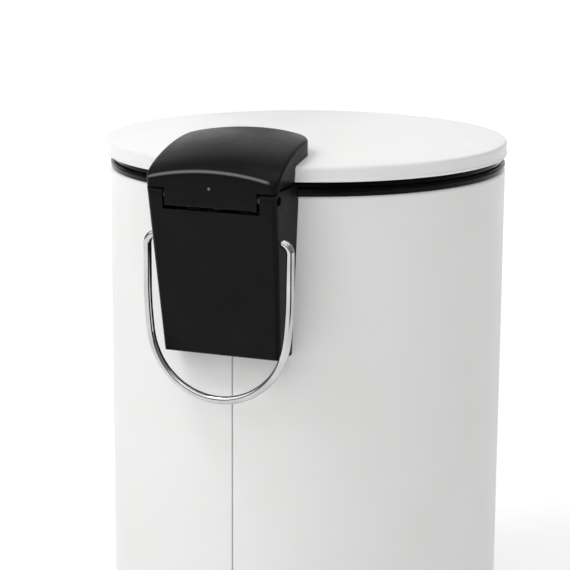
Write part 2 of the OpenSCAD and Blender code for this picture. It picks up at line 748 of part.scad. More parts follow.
module crank_pin() color(bare_steel) {
    x = cheek_in + cheek_t + 1;
    bar_x(-x, x, crank_pin_y, crank_pin_z, crank_pin_r);
}

// --- carrying handle ---

module bail_handle() color("#d4d7da") translate([0, bail_y, shell_top - bail_drop]) {
    for (s = [0, 1]) mirror([s, 0, 0]) {
        translate([24, 0, 0]) rotate([0, 90, 0])
            cylinder(r = bail_wire_r, h = bail_half - bail_bend_r - 24, $fn = 32);
        translate([bail_half, 0, bail_curve_z]) cylinder(r = bail_wire_r, h = bail_leg, $fn = 32);
        rotate([90, 0, 0]) {
            bend([bail_half - bail_bend_r, -bail_bend_r], bail_bend_r, 0, 90, bail_wire_r);
            bend([bail_side_x, bail_curve_z], bail_side_r, -bail_join_a, 0, bail_wire_r);
        }
    }
    rotate([90, 0, 0]) translate([0, bail_foot_z, 0]) rotate(bail_join_a - 180)
        rotate_extrude(angle = 180 - 2 * bail_join_a) translate([bail_foot_r, 0])
            circle(r = bail_wire_r, $fn = 32);
}

// --- inner bucket ---

module inner_bucket() color("#4a4b4e") difference() {
    rim_z = shell_top + ledge_h;
    rotate_extrude() polygon([[0, bucket_z], [bucket_foot_r - 2, bucket_z], [bucket_foot_r, bucket_z + 2],
        [bucket_r, rim_z], [rim_r - 0.3, rim_z], [rim_r - 0.3, rim_z + flange_t],
        [bucket_r - bucket_t, rim_z + flange_t],
        [bucket_foot_r - bucket_t, bucket_z + 4], [bucket_foot_r - 2 - bucket_t, bucket_z + 2],
        [0, bucket_z + 2]]);
    bar_x(-shell_r, shell_r, 0, bucket_pivot_z, bucket_wire_r);
}

module bucket_handle() color("#d4d7da") {
    r = bucket_wire_r;
    z = shell_top + ledge_h + flange_t + r;
    translate([0, 0, z]) rotate(180) rotate_extrude(angle = 180) translate([bucket_bow_r, 0])
        circle(r = r, $fn = 32);
    for (s = [0, 1]) mirror([s, 0, 0]) {
        translate([bucket_bow_r, 0, z]) sphere(r = r);
        bar_x(bucket_leg_x, bucket_bow_r, 0, z, r);
        translate([bucket_leg_x, 0, z]) sphere(r = r);
        translate([bucket_leg_x, 0, bucket_pivot_z]) cylinder(r = r, h = z - bucket_pivot_z);
        translate([bucket_leg_x, 0, bucket_pivot_z]) sphere(r = r);
        bar_x(bucket_leg_x, bucket_r + 0.2, 0, bucket_pivot_z, r);
    }
}

outer_body();
rim_ring();
lid_buffers();
base_ring();
grip_ring();
base_plate();
base_screws();
pedal_bracket();
bracket_rivets();
pedal_pivot_pin();
pedal_lever();
pedal_tread();
tread_rivets();
push_rod();
rod_clip();
rod_guide();
backing_plate();
housing_screws();
hinge_housing();
hinge_pin();
lid();
lid_hinge_cap();
crank_pin();
lid_clamp_plate();
lid_screws();
bail_handle();
inner_bucket();
bucket_handle();
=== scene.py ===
"""Looks of the round pedal bin: painted steel shell and lid, black hinge housing and cap, chromed handle,
pedal and inner bucket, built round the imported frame."""

import json
from math import acos, asin, atan2, cos, degrees, radians, sin, sqrt, tan

import bmesh
import bpy
from mathutils import Matrix, Vector

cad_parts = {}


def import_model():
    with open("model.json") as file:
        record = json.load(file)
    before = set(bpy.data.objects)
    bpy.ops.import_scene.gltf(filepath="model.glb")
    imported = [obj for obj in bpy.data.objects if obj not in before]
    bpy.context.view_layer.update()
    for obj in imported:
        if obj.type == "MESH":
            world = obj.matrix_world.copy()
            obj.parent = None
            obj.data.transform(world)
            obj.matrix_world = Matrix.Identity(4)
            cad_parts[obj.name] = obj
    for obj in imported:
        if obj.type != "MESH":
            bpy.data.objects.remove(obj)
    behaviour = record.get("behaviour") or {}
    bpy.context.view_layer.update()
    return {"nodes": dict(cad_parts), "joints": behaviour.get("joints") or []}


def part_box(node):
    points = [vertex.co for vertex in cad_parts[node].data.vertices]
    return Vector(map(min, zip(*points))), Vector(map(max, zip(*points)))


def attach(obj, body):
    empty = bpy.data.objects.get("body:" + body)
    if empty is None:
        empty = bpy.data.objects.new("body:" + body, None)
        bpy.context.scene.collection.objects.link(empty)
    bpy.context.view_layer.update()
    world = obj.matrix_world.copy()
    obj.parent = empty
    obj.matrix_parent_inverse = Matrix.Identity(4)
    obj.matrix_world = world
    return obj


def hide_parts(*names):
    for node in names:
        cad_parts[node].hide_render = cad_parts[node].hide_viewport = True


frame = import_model()

# --- sizes, in millimetres and degrees ---

MM = 0.001  # a millimetre, in metres
STEPS = 256  # points round a turned piece
PAST = 5  # how far a cutting tool reaches past what it cuts
NEAR = 0.01  # closer than this counts as touching


def joint_place(name):
    """(y, z) of a joint's axis, in millimetres."""
    place = next(j for j in frame["joints"] if j["name"] == name)["pos_m"]
    return place[1] / MM, place[2] / MM


PIN_Y, PIN_Z = joint_place("lid_hinge")
BAIL_Y, BAIL_Z = joint_place("handle_swing")

SHELL_R = 102.5
SHELL_T = 0.6
SHELL_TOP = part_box("outer_body")[1].z / MM
SHELL_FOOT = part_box("outer_body")[0].z / MM
CURL_R = 1.9
SEAM_X = -1.1
SEAM_HALF = 0.35
SEAM_WALL = 0.05  # width over which the seam's gap drops to its bottom
SEAM_DEPTH = 0.5
LAP_W = 8
LAP_DEPTH = 0.12

RIM_INNER_R = SHELL_R - 14.5
RIM_LEDGE_R = 93.5
RIM_LEDGE_H = 3
RIM_SKIRT_R = SHELL_R - 2.1
RIM_SKIRT_T = 2
RIM_SKIRT_DROP = 12
RIM_H = 6
RIM_RIDGE_R = 1.75

LID_R = 103.5
LID_Y = 1.8
LID_T = 0.8
LID_HEM = SHELL_TOP + 7  # the hem's lower edge
LID_SKIRT = 7.6
LID_EDGE_R = 1.8
LID_EDGE_TURN = 82
HEM_R = 0.9
HEM_OUT = 0.35
DOME_H = 7.5

CAP_HALF = 33.7
CAP_TAPER = 2.4
CAP_REAR = 126.3
CAP_FRONT = 68
CAP_REAR_H = 13.4
CAP_SLOPE = 24
CAP_BEND_Y = 116
CAP_REAR_BEND_R = 35
CAP_FRONT_BEND_R = 90
CAP_CROWN_R = 130
CAP_FRONT_R = 75
CAP_CORNER_R = 13
CAP_REAR_R = 4
CAP_EDGE = 1.4
HIGHLIGHT_TURN = 54  # where the painted highlight runs on the rounded edge
HIGHLIGHT_END = -30
CAP_LOW = SHELL_TOP + 7
CAP_LIP_LOW = SHELL_TOP + 5
CAP_LIP_Y = 123  # the lip's front face
CAP_T = 2.4
EAR_ROOM_R = 4.9
CAP_MIDDLE = (0.0, 97.0)  # where the rings of the cap's top draw together
HUB_Y = 117.6  # where the hollow under the cap ends
PIN_BORE_R = 2.25
TONGUE_HALF = 23.4
TONGUE_LOW = SHELL_TOP - 3.6
GATE_MARK = (0.5, CAP_REAR, SHELL_TOP + 5.7)  # a pale dot on the cap's rear

BAIL_WIRE_R = 2.0
BAIL_END = 24
BAIL_HALF = 36.7
BAIL_LEG = 19.0
BAIL_LOOP_H = 55.0
BAIL_FOOT_R = 35.5
BAIL_BEND_R = 5.0

BASE_R = SHELL_R + 1.7
BASE_LOW = 1
BASE_FLOOR = 5
BASE_TOP = 15
BASE_INNER_R = 88
BASE_WALL_R = 99.9
BASE_WALL_TOP = 9
GRIP_R = (96, 101)  # inner and outer
GRIP_TOP = 3
SLOT_HALF = 13.5
SLOT_LOW = 11.4
SLOT_HIGH = 37.5
SLOT_CORNER_R = 2
SLOT_DEPTH = 8  # how far into the bin the shell's slots are cut
ROD_SLOT_HALF = 4
ROD_SLOT_LOW = SHELL_TOP - 58
ROD_SLOT_HIGH = SHELL_TOP - 25

BUCKET_R = 87.4
BUCKET_FOOT_R = 80
BUCKET_Z = 42
BUCKET_RIM = SHELL_TOP + 3
BUCKET_T = 1.8
BUCKET_FLOOR_T = 2
BUCKET_FLANGE_R = 93.2
BUCKET_FLANGE_T = 2.2
BUCKET_WIRE_R = 1.5
BUCKET_BEND_R = 1.8
BUCKET_BOW_R = 89


# --- outlines ---

def arc(centre, radius, start, end, steps=8):
    """Points along an arc, from one angle to another."""
    turns = [radians(start + (end - start) * i / steps) for i in range(steps + 1)]
    return [(centre[0] + radius * cos(t), centre[1] + radius * sin(t)) for t in turns]


def between(a, b, steps):
    """Evenly spaced points between a and b, without a and b."""
    return [tuple(p + (q - p) * i / steps for p, q in zip(a, b)) for i in range(1, steps)]


def mirrored(half):
    """The other half of an outline whose half ends at x = 0, in the order that goes on from it."""
    return [(-u, v) for u, v in reversed(half[:-1])]


def fillet(before, here, after, radius, steps):
    """Points on the arc that rounds the corner at here."""
    back = (before - here).normalized()
    ahead = (after - here).normalized()
    half = back.angle(ahead) / 2
    centre = here + (back + ahead).normalized() * (radius / sin(half))
    start = here + back * (radius / tan(half))
    end = here + ahead * (radius / tan(half))
    spokes = [(start.lerp(end, k / steps) - centre).normalized() for k in range(steps + 1)]
    return [centre + spoke * radius for spoke in spokes]


def rounded(corners, steps=5):
    """Closed outline through corners (u, v, radius), each rounded with an arc of its own radius."""
    places = [Vector(corner[:2]) for corner in corners]
    points = []
    for i, (u, v, radius) in enumerate(corners):
        if radius:
            after = places[(i + 1) % len(places)]
            points += [tuple(p) for p in fillet(places[i - 1], places[i], after, radius, steps)]
        else:
            points.append((u, v))
    return points


def softened(corners, radius, steps=6):
    """Open path through corners in space, with each bend rounded."""
    corners = [Vector(corner) for corner in corners]
    points = corners[:1]
    for before, here, after in zip(corners, corners[1:], corners[2:]):
        points += fillet(before, here, after, radius, steps)
    return points + corners[-1:]


def opening(half, low, high, radius=0):
    """Outline of an upright opening, as (x, z)."""
    corners = [(-half, low), (half, low), (half, high), (-half, high)]
    return rounded([(x, z, radius) for x, z in corners])


def cap_bend(y):
    """Height of the cap's top along its middle, above where its rear curve meets its front curve."""
    r = CAP_REAR_BEND_R if y > CAP_BEND_Y else CAP_FRONT_BEND_R
    slope = sin(radians(CAP_SLOPE))
    return r * (cos(asin(slope + (y - CAP_BEND_Y) / r)) - cos(asin(slope)))


def cap_middle(y):
    """Height of the cap's top along its middle line."""
    return SHELL_TOP + CAP_REAR_H + cap_bend(y) - cap_bend(CAP_REAR)


# --- solids ---

def solid(name, bm, sharp=35):
    """Turns a bmesh in millimetres into an object in metres, smooth except at sharp edges."""
    bmesh.ops.recalc_face_normals(bm, faces=bm.faces)
    bmesh.ops.scale(bm, vec=(MM, MM, MM), verts=bm.verts)
    mesh = bpy.data.meshes.new(name)
    bm.to_mesh(mesh)
    bm.free()
    piece = bpy.data.objects.new(name, mesh)
    bpy.context.scene.collection.objects.link(piece)
    smooth(piece, sharp)
    return piece


def smooth(piece, sharp=35):
    """Smooth shading, except at edges sharper than that many degrees."""
    piece.data.shade_smooth()
    piece.data.set_sharp_from_angle(angle=radians(sharp))


def skin(bm, rings, closed=False):
    """Joins neighbouring rings of vertices with faces."""
    pairs = list(zip(rings, rings[1:]))
    if closed:
        pairs.append((rings[-1], rings[0]))
    for ring, after in pairs:
        for i in range(len(ring)):
            j = (i + 1) % len(ring)
            bm.faces.new((ring[i], ring[j], after[j], after[i]))


def turned(name, outline, centre_y=0.0, angles=None, inset=None):
    """Turns a closed (radius, height) outline about an upright axis. inset gives how far in a point is."""
    angles = angles or [360 * i / STEPS for i in range(STEPS)]
    bm = bmesh.new()
    rings = []
    for a in angles:
        ring = []
        for r, z in outline:
            radius = r - inset(a, r, z) if inset else r
            x, y = radius * cos(radians(a)), radius * sin(radians(a))
            ring.append(bm.verts.new((x, centre_y + y, z)))
        rings.append(ring)
    skin(bm, rings, closed=True)
    bmesh.ops.remove_doubles(bm, verts=bm.verts, dist=1e-5)
    return solid(name, bm)


def prism(name, outline, axis, start, end):
    """Runs a closed outline along an axis: (y, z) along x, or (x, z) along y."""
    bm = bmesh.new()
    rings = []
    for t in (start, end):
        rings.append([bm.verts.new((t, u, v) if axis == "x" else (u, t, v)) for u, v in outline])
    skin(bm, rings)
    for ring in rings:
        bm.faces.new(ring)
    return solid(name, bm)


def tube(name, path, radius, sides=28):
    """Round wire along a path, with flat ends."""
    bm = bmesh.new()
    path = [Vector(p) for p in path]
    rings = []
    side = None
    for i, here in enumerate(path):
        along = (path[min(i + 1, len(path) - 1)] - path[max(i - 1, 0)]).normalized()
        side = along.orthogonal() if side is None else side - along * side.dot(along)
        side.normalize()
        other = along.cross(side)
        turns = [radians(360 * k / sides) for k in range(sides)]
        rings.append([bm.verts.new(here + radius * (side * cos(t) + other * sin(t))) for t in turns])
    skin(bm, rings)
    bm.faces.new(rings[0])
    bm.faces.new(rings[-1])
    return solid(name, bm)


def applied(piece):
    """Replaces a piece's mesh with what its modifiers make of it."""
    graph = bpy.context.evaluated_depsgraph_get()
    mesh = bpy.data.meshes.new_from_object(piece.evaluated_get(graph))
    piece.modifiers.clear()
    piece.data = mesh


def combine(piece, tool, operation="DIFFERENCE"):
    """Cuts a tool from a piece, or joins it on, and removes the tool."""
    step = piece.modifiers.new("combine", "BOOLEAN")
    step.operation = operation
    step.solver = "EXACT"
    step.object = tool
    applied(piece)
    bpy.data.objects.remove(tool)


def ease(piece, width):
    """Merges flat stretches and rounds the sharp edges of a piece, with modifiers only."""
    weld = piece.modifiers.new("weld", "WELD")
    weld.merge_threshold = 0.002 * MM
    flatten = piece.modifiers.new("flatten", "DECIMATE")
    flatten.decimate_type = "DISSOLVE"
    flatten.angle_limit = radians(0.4)
    bevel = piece.modifiers.new("bevel", "BEVEL")
    bevel.width = width * MM
    bevel.segments = 3
    bevel.limit_method = "ANGLE"
    bevel.angle_limit = radians(32)
    bevel.use_clamp_overlap = True
    bevel.miter_outer = "MITER_ARC"
    piece.modifiers.new("normals", "WEIGHTED_NORMAL").keep_sharp = True


# --- materials ---

class Finish:
    """A material made from textures in the piece's own space, in metres."""

    def __init__(self, name, **constants):
        """Starts a material. The constants are set on the shader's own sockets."""
        self.material = bpy.data.materials.new(name)
        self.material.use_nodes = True
        self.tree = self.material.node_tree
        self.shader = self.tree.nodes["Principled BSDF"]
        for socket, value in constants.items():
            self.shader.inputs[socket.replace("_", " ")].default_value = value
        self.space = self.tree.nodes.new("ShaderNodeTexCoord").outputs["Object"]

    def put(self, socket, value):
        """Links a node's output to a socket, or sets a plain value on it."""
        if isinstance(value, bpy.types.NodeSocket):
            self.tree.links.new(value, socket)
        else:
            socket.default_value = value

    def node(self, kind, settings=None, **inputs):
        """Adds a node with its settings and its inputs."""
        node = self.tree.nodes.new(kind)
        for key, value in (settings or {}).items():
            setattr(node, key, value)
        for key, value in inputs.items():
            self.put(node.inputs[key.replace("_", " ")], value)
        return node

    def stretched(self, scale):
        """The piece's space, scaled along each axis."""
        return self.node("ShaderNodeMapping", Vector=self.space, Scale=scale).outputs["Vector"]

    def noise(self, grain, detail=2.0, space=None):
        """Noise whose grain is about that many millimetres across."""
        inputs = {"Vector": space or self.space, "Scale": 1 / (grain * MM), "Detail": detail}
        return self.node("ShaderNodeTexNoise", **inputs).outputs["Fac"]

    def cells(self, grain):
        """Distance to the nearest of scattered points about grain millimetres apart."""
        cells = self.node("ShaderNodeTexVoronoi", Vector=self.space, Scale=1 / (grain * MM))
        return cells.outputs["Distance"]

    def span(self, value, start, end, low=0.3, high=0.7):
        """Maps value from low..high to start..end."""
        inputs = {"Value": value, "From_Min": low, "From_Max": high, "To_Min": start, "To_Max": end}
        return self.node("ShaderNodeMapRange", **inputs).outputs["Result"]

    def blend(self, factor, colour_a, colour_b):
        """Mixes two colours, each given as a node's output or as (red, green, blue)."""
        node = self.node("ShaderNodeMix", {"data_type": "RGBA"})
        self.put(node.inputs[0], factor)
        for socket, colour in ((node.inputs[6], colour_a), (node.inputs[7], colour_b)):
            self.put(socket, (*colour, 1) if isinstance(colour, tuple) else colour)
        return node.outputs[2]

    def math(self, operation, a, b=0):
        """A number made from a and b."""
        node = self.node("ShaderNodeMath", {"operation": operation})
        self.put(node.inputs[0], a)
        self.put(node.inputs[1], b)
        return node.outputs[0]

    def place(self):
        """The X, Y and Z of a point in the piece's space."""
        return self.node("ShaderNodeSeparateXYZ", Vector=self.space).outputs

    def length(self, vector):
        """Distance of a place from the origin."""
        node = self.node("ShaderNodeVectorMath", {"operation": "LENGTH"})
        self.put(node.inputs[0], vector)
        return node.outputs["Value"]

    def reach(self, u, v):
        """Distance of a point (u, v) from (0, 0)."""
        return self.length(self.node("ShaderNodeCombineXYZ", X=u, Y=v).outputs[0])

    def painted_crease_highlight(self):
        """Mask of a painted highlight: 1 on the arched edge between the cap's top and its rear face,
        fading to 0
         a millimetre away and at the edge's -X end."""
        turn = radians(HIGHLIGHT_TURN)
        inset = CAP_EDGE * (1 - cos(turn))
        drop = CAP_EDGE * (1 - sin(turn)) - cap_bend(CAP_REAR - inset) + cap_bend(CAP_REAR)
        x, y, z = self.place()
        up = self.math("SUBTRACT", z, (SHELL_TOP + CAP_REAR_H - CAP_CROWN_R) * MM)
        high = self.math("SUBTRACT", self.reach(x, up), (CAP_CROWN_R - drop) * MM)
        deep = self.math("SUBTRACT", y, (CAP_REAR - inset) * MM)
        highlight_band = self.span(self.reach(high, deep), 1, 0, 0.2 * MM, 1.0 * MM)
        inside = self.span(x, 0, 1, HIGHLIGHT_END * MM, (HIGHLIGHT_END + 2) * MM)
        return self.math("MULTIPLY", highlight_band, inside)

    def bumps(self, *layers):
        """Chains (height, depth in millimetres) layers into the shader's normal."""
        normal = None
        for height, depth in layers:
            inputs = {"Height": height, "Distance": depth * MM, "Strength": 1.0}
            if normal:
                inputs["Normal"] = normal
            normal = self.node("ShaderNodeBump", **inputs).outputs["Normal"]
        self.tree.links.new(normal, self.shader.inputs["Normal"])

    def set(self, socket, value):
        """Links a value to one of the shader's sockets."""
        self.tree.links.new(value, self.shader.inputs[socket])


def powder_coat(name, seam=False):
    """White stoved powder paint with a fine orange peel. With seam, painted shade darkens the lap seam's
    gap to grey.
    """
    f = Finish(name, IOR=1.5, Specular_IOR_Level=0.3)
    tone = f.blend(f.span(f.noise(45, 3), 0, 1), (0.86, 0.86, 0.85), (0.885, 0.885, 0.88))
    if seam:
        x, y, _ = f.place()
        away = f.math("ABSOLUTE", f.math("SUBTRACT", x, SEAM_X * MM))
        rear = f.math("GREATER_THAN", y, SHELL_R / 2 * MM)
        painted_seam_shade = f.math("MULTIPLY", f.span(away, 1, 0, 0.25 * MM, 0.5 * MM), rear)
        # painted shade: the lap seam's gap is darkened to grey
        tone = f.blend(painted_seam_shade, tone, (0.48, 0.48, 0.48))
    f.set("Base Color", tone)
    f.set("Roughness", f.span(f.noise(18, 4), 0.38, 0.46))
    f.bumps((f.noise(1.6, 1), 0.012), (f.noise(0.5, 1), 0.003))
    return f.material


def moulded_black(name, rough, colour, depth, mark=None):
    """Black moulded plastic with a spark-eroded grain. A mark is the cap's gate mark, and comes with a
    painted
     highlight, a lighter line along the cap's rear edge."""
    f = Finish(name, Specular_IOR_Level=0.1)
    dark, light = (tuple(share * c for c in colour) for share in (0.8, 1.25))
    tone = f.blend(f.span(f.noise(14, 3), 0, 1), dark, light)
    if mark:
        away = f.node("ShaderNodeVectorMath", {"operation": "DISTANCE"})
        f.put(away.inputs[0], f.space)
        f.put(away.inputs[1], [c * MM for c in mark])
        spot = f.span(away.outputs["Value"], 1, 0, 0.55 * MM, 0.85 * MM)
        tone = f.blend(spot, tone, (0.16, 0.16, 0.16))
        # painted highlight: a lighter line along the cap's rear crease
        tone = f.blend(f.painted_crease_highlight(), tone, (0.15, 0.15, 0.153))
    f.set("Base Color", tone)
    f.set("Roughness", f.span(f.noise(9, 4), rough - 0.03, rough + 0.04))
    f.bumps((f.noise(0.55, 2), depth), (f.cells(0.8), depth * 0.6))
    return f.material


def gloss_black():
    """Polished black plastic with the faint waves that moulding leaves."""
    f = Finish("gloss_black_plastic", Specular_IOR_Level=0.08)
    cloud = f.span(f.noise(20, 3), 0, 1)
    f.set("Base Color", f.blend(cloud, (0.0018, 0.0018, 0.002), (0.004, 0.004, 0.0045)))
    f.set("Roughness", f.span(f.noise(6, 5), 0.14, 0.24))
    f.bumps((f.noise(5, 1), 0.01), (f.noise(0.7, 2), 0.0012))
    return f.material


def rubber():
    """Matt rubber with a slight bloom."""
    f = Finish("black_rubber", Specular_IOR_Level=0.3)
    cloud = f.span(f.noise(5, 5), 0, 1)
    f.set("Base Color", f.blend(cloud, (0.014, 0.014, 0.014), (0.032, 0.031, 0.03)))
    f.set("Roughness", f.span(f.noise(3, 4), 0.68, 0.86))
    f.bumps((f.noise(0.4, 3), 0.02))
    return f.material


def chrome():
    """Bright chromed wire, with faint drawing marks along it."""
    f = Finish("chromed_wire", Metallic=1.0)
    cloud = f.span(f.noise(12, 3), 0, 1)
    f.set("Base Color", f.blend(cloud, (0.5, 0.5, 0.505), (0.62, 0.62, 0.625)))
    f.set("Roughness", f.span(f.noise(4, 5), 0.06, 0.13))
    f.bumps((f.noise(1, 3, f.stretched((1, 1, 0.06))), 0.0025))
    return f.material


def zinc():
    """Zinc-plated steel, clouded, with rolling marks and fine scratches."""
    f = Finish("zinc_plated_steel", Metallic=1.0)
    cloud = f.span(f.noise(7, 5), 0, 1)
    f.set("Base Color", f.blend(cloud, (0.47, 0.475, 0.48), (0.66, 0.655, 0.64)))
    scratch = f.noise(1.2, 4, f.stretched((1, 0.05, 1)))
    f.set("Roughness", f.math("ADD", f.span(f.noise(2.5, 4), 0.26, 0.38), f.span(scratch, 0, 0.1)))
    f.bumps((scratch, 0.006), (f.noise(1.1, 3), 0.006))
    return f.material


def bucket_grey():
    """Dark grey polypropylene, satin, with a little scuffing."""
    f = Finish("grey_bucket_plastic", Specular_IOR_Level=0.4)
    cloud = f.span(f.noise(25, 4), 0, 1)
    f.set("Base Color", f.blend(cloud, (0.048, 0.049, 0.052), (0.066, 0.067, 0.07)))
    scuff = f.span(f.noise(1.5, 5, f.stretched((1, 1, 0.15))), 0, 0.14, 0.5, 0.8)
    f.set("Roughness", f.math("ADD", f.span(f.noise(8, 3), 0.42, 0.5), scuff))
    f.bumps((f.noise(0.8, 2), 0.008))
    return f.material


SHELL_PAINT = powder_coat("shell_powder_coat", True)
LID_PAINT = powder_coat("lid_powder_coat")
HOUSING_PLASTIC = moulded_black("housing_plastic", 0.44, (0.0042, 0.0042, 0.0044), 0.006)
CAP_PLASTIC = moulded_black("cap_plastic", 0.36, (0.0042, 0.0042, 0.0044), 0.005, GATE_MARK)
BASE_PLASTIC = moulded_black("base_plastic", 0.48, (0.009, 0.009, 0.0095), 0.01)
GLOSS = gloss_black()
RUBBER = rubber()
CHROME = chrome()
ZINC = zinc()
BUCKET = bucket_grey()


def stands_for(piece, body, material, slot, *replaced):
    """Gives a piece its material and puts it in a CAD node's place. The slot is not used."""
    piece.data.materials.clear()
    piece.data.materials.append(material)
    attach(piece, body)
    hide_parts(*replaced)


# --- shell and rim ---

def seam_inset(a, r, z):
    """Lap seam down the rear: one edge of the sheet tucks under the other, with a fine gap between."""
    on_wall = r > SHELL_R - NEAR and z < SHELL_TOP - CURL_R + NEAR
    away = SHELL_R * sin(radians(a - 90)) + SEAM_X
    if not on_wall or sin(radians(a)) < 0 or away < -LAP_W or away > SEAM_HALF + NEAR:
        return 0.0
    if abs(away) < SEAM_HALF - SEAM_WALL + NEAR:
        return SEAM_DEPTH
    if abs(away) < SEAM_HALF + NEAR:
        return LAP_DEPTH if away < 0 else 0.0
    return LAP_DEPTH * (LAP_W + away) / LAP_W


def shell():
    """Rolled sheet with a curled top edge, a lap seam, and slots for the pedal lever and the push rod."""
    centre = (SHELL_R - CURL_R, SHELL_TOP - CURL_R)
    outline = [(SHELL_R - SHELL_T, SHELL_FOOT), (SHELL_R, SHELL_FOOT)]
    outline += arc(centre, CURL_R, 0, 90, 10) + arc(centre, CURL_R - SHELL_T, 90, 0, 10)
    bottom = SEAM_HALF - SEAM_WALL
    seam = [90 + degrees((away - SEAM_X) / SHELL_R) for away in (-SEAM_HALF, -bottom, bottom, SEAM_HALF)]
    angles = sorted([360 * (i + 0.5) / STEPS for i in range(STEPS)] + seam)
    piece = turned("painted_shell", outline, angles=angles, inset=seam_inset)
    slot = opening(SLOT_HALF, SLOT_LOW, SLOT_HIGH, SLOT_CORNER_R)
    combine(piece, prism("slot", slot, "y", -SHELL_R - PAST, -SHELL_R + SLOT_DEPTH))
    rod_slot = opening(ROD_SLOT_HALF, ROD_SLOT_LOW, ROD_SLOT_HIGH)
    combine(piece, prism("rod_slot", rod_slot, "y", SHELL_R - SLOT_DEPTH, SHELL_R + PAST))
    smooth(piece)
    stands_for(piece, "bin", SHELL_PAINT, "white_painted_steel", "outer_body")


def rim():
    """Black plastic ring in the shell's mouth. Its ridge ends in a lip that sits on the shell's curl."""
    top = SHELL_TOP
    low = top - RIM_SKIRT_DROP
    inside = RIM_SKIRT_R - RIM_SKIRT_T
    groove = (RIM_SKIRT_R + 0.9, top + 3.7)
    outline = rounded([
        (RIM_INNER_R, top - 1, 0.4), (RIM_INNER_R, top + RIM_LEDGE_H, 0.5),
        (RIM_LEDGE_R, top + RIM_LEDGE_H, 0.5), (RIM_LEDGE_R, top + RIM_H, 0.9),
        (RIM_SKIRT_R, top + RIM_H, 0.6), (RIM_SKIRT_R + 0.1, top + 3.9, 0.2),
        (*groove, 0), (RIM_SKIRT_R, top + 0.02, 0),
        (RIM_SKIRT_R, low, 0.4), (inside, low, 0.4), (inside, top - 1, 0.5)])
    ridge = arc((SHELL_R - 1.7, top + 1.95), RIM_RIDGE_R, 74, 0, 10)
    lip = arc((SHELL_R - 0.55, top - 0.1), 0.15, 0, -90, 3)
    on_curl = arc((SHELL_R - CURL_R, top - CURL_R), CURL_R + 0.03, 58, 88, 6)
    cut = outline.index(groove)
    outline[cut:cut + 1] = ridge + lip + on_curl
    piece = turned("rim_ring_gloss", outline)
    stands_for(piece, "bin", GLOSS, "gloss_black_plastic", "rim_ring")


# --- lid ---

DOME_EDGE = (LID_R - LID_EDGE_R, LID_HEM + LID_SKIRT - LID_EDGE_R)
DOME_R = DOME_EDGE[0] + LID_EDGE_R * cos(radians(LID_EDGE_TURN))
DOME_Z = DOME_EDGE[1] + LID_EDGE_R * sin(radians(LID_EDGE_TURN))


def dome(r):
    """Height of the dome's outer face at a distance from the lid's centre."""
    return DOME_Z + DOME_H * (1 - (r / DOME_R) ** 2)


def lid_face(drop, turn_r):
    """The lid's outer or inner face, from the skirt over the edge to the middle."""
    steps = 40
    spokes = [DOME_R * (1 - i / steps) for i in range(1, steps + 1)]
    return arc(DOME_EDGE, turn_r, 0, LID_EDGE_TURN, 12) + [(r, dome(r) - drop) for r in spokes]


def lid():
    """Domed lid with a short skirt and a rolled hem."""
    hem = (LID_R + HEM_OUT - HEM_R, LID_HEM + HEM_R)
    inside = degrees(acos((LID_R - LID_T - hem[0]) / HEM_R))
    outside = 360 + degrees(acos((LID_R - hem[0]) / HEM_R))
    outline = arc(hem, HEM_R, inside, outside, 18) + lid_face(0, LID_EDGE_R)
    outline += lid_face(LID_T, LID_EDGE_R - LID_T)[::-1]
    piece = turned("painted_lid", outline, LID_Y)
    stands_for(piece, "lid_assembly", LID_PAINT, "white_painted_steel", "lid")


# --- hinge cap ---

def cap_top(x, y):
    """Height of the cap's crowned top."""
    axis = SHELL_TOP + CAP_REAR_H - CAP_CROWN_R
    return axis + sqrt((cap_middle(y) - axis) ** 2 - x * x)


def cap_plan(inset, rear=CAP_REAR):
    """The cap's outline from above, moved in by inset."""
    x = CAP_HALF - CAP_TAPER - CAP_CORNER_R
    arc_y = CAP_FRONT + CAP_FRONT_R
    turn = degrees(acos(x / (CAP_FRONT_R - CAP_CORNER_R)))
    y = arc_y - (CAP_FRONT_R - CAP_CORNER_R) * sin(radians(turn))
    rear_x = CAP_HALF - inset - CAP_REAR_R
    rear_y = rear - inset - CAP_REAR_R
    right = arc((rear_x, rear_y), CAP_REAR_R, 90, 0, 10)
    corner = arc((x, y), CAP_CORNER_R - inset, 0, -turn, 10)
    front = arc((0, arc_y), CAP_FRONT_R - inset, -turn, -90, 14)
    half = right + between(right[-1], corner[0], 12) + corner + front[1:]
    other = mirrored(half)
    return half + other + between(other[-1], half[0], 24)


def cap_block(name, inset, drop, low, edge, rear=CAP_REAR):
    """Solid under the cap's crowned top, with a rounded top edge."""
    edge_steps, top_steps = 6, 18
    bm = bmesh.new()
    rings = [[bm.verts.new((x, y, low)) for x, y in cap_plan(inset, rear)]]
    bm.faces.new(rings[0])
    for k in range(edge_steps + 1):
        turn = radians(90 * k / edge_steps)
        plan = cap_plan(inset + edge * (1 - cos(turn)), rear)
        fall = drop + edge * (1 - sin(turn))
        rings.append([bm.verts.new((x, y, cap_top(x, y) - fall)) for x, y in plan])
    for k in range(1, top_steps):
        ring = []
        for x, y in plan:
            u = x + (CAP_MIDDLE[0] - x) * k / top_steps
            v = y + (CAP_MIDDLE[1] - y) * k / top_steps
            ring.append(bm.verts.new((u, v, cap_top(u, v) - drop)))
        rings.append(ring)
    skin(bm, rings)
    bm.faces.new(rings[-1])
    return solid(name, bm)


def under_lid(name):
    """Everything under the lid's outer face."""
    hem = LID_R + HEM_OUT + 0.15
    low = LID_HEM - 20
    outline = [(0, low), (hem, low), (hem, LID_HEM + 2.4), (LID_R, LID_HEM + 2.8)]
    return turned(name, outline + lid_face(0, LID_EDGE_R), LID_Y)


def tongue_side():
    """Side outline of the tongue that fills the notch under the cap's rear."""
    front = HUB_Y + 0.6
    return rounded([(front, CAP_LOW + 1, 0), (front, TONGUE_LOW, 2),
                    (CAP_REAR, TONGUE_LOW, 1.2), (CAP_REAR, CAP_LOW + 1, 0)])


